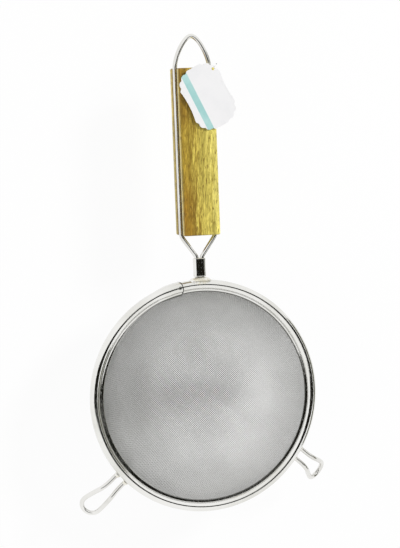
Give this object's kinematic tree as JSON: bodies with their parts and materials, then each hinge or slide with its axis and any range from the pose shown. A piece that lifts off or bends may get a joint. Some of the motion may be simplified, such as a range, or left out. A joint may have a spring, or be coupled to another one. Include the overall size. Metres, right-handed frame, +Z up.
{
  "type": "mesh strainer",
  "caption": "Round wire-mesh strainer with a rolled steel rim, wire rest ears, a wooden block handle on a bent wire that ends in a hanging loop, and a blank hang tag.",
  "frame": {"origin": "bottom centre of the box round the whole part: the bowl's lowest point is at z = 0", "axes": "+Z up, out of the open bowl and square to the rim; +Y from the bowl to the hanging loop along the handle; +X to the right seen from above with the handle pointing away"},
  "size_m": [0.2222, 0.4096, 0.0873],
  "materials": {
    "polished_steel": "polished bright steel",
    "steel_net": "fine woven steel wire, stood in for by an open net",
    "weld_steel": "dull weld metal",
    "varnished_wood": "varnished, grain along the handle",
    "white_card": "smooth white card with a pale teal stripe, no lettering",
    "clear_plastic": "clear"
  },
  "bodies": {
    "strainer": {"rim_hoop": "polished_steel", "mesh_bowl": "steel_net", "handle_wire": "polished_steel", "ferrule": "polished_steel", "handle_block": "varnished_wood", "handle_weld": "weld_steel", "right_rest_ear": "polished_steel", "left_rest_ear": "polished_steel", "right_ear_lower_weld": "weld_steel", "right_ear_upper_weld": "weld_steel", "left_ear_lower_weld": "weld_steel", "left_ear_upper_weld": "weld_steel"},
    "tie": {"tag_tie": "clear_plastic"},
    "tag": {"hang_tag": "white_card"}
  },
  "joints": [
    {"name": "tag_swing", "type": "hinge", "parent": "strainer", "child": "tie", "pos_m": [0.01311, 0.17879, 0.0671], "axis": [0, 1, 0], "range_deg": [0, 180]},
    {"name": "tag_turn", "type": "hinge", "parent": "tie", "child": "tag", "pos_m": [0.01161, 0.17419, 0.0851], "axis": [0, 0, 1], "range_deg": [-40, 40]}
  ]
}
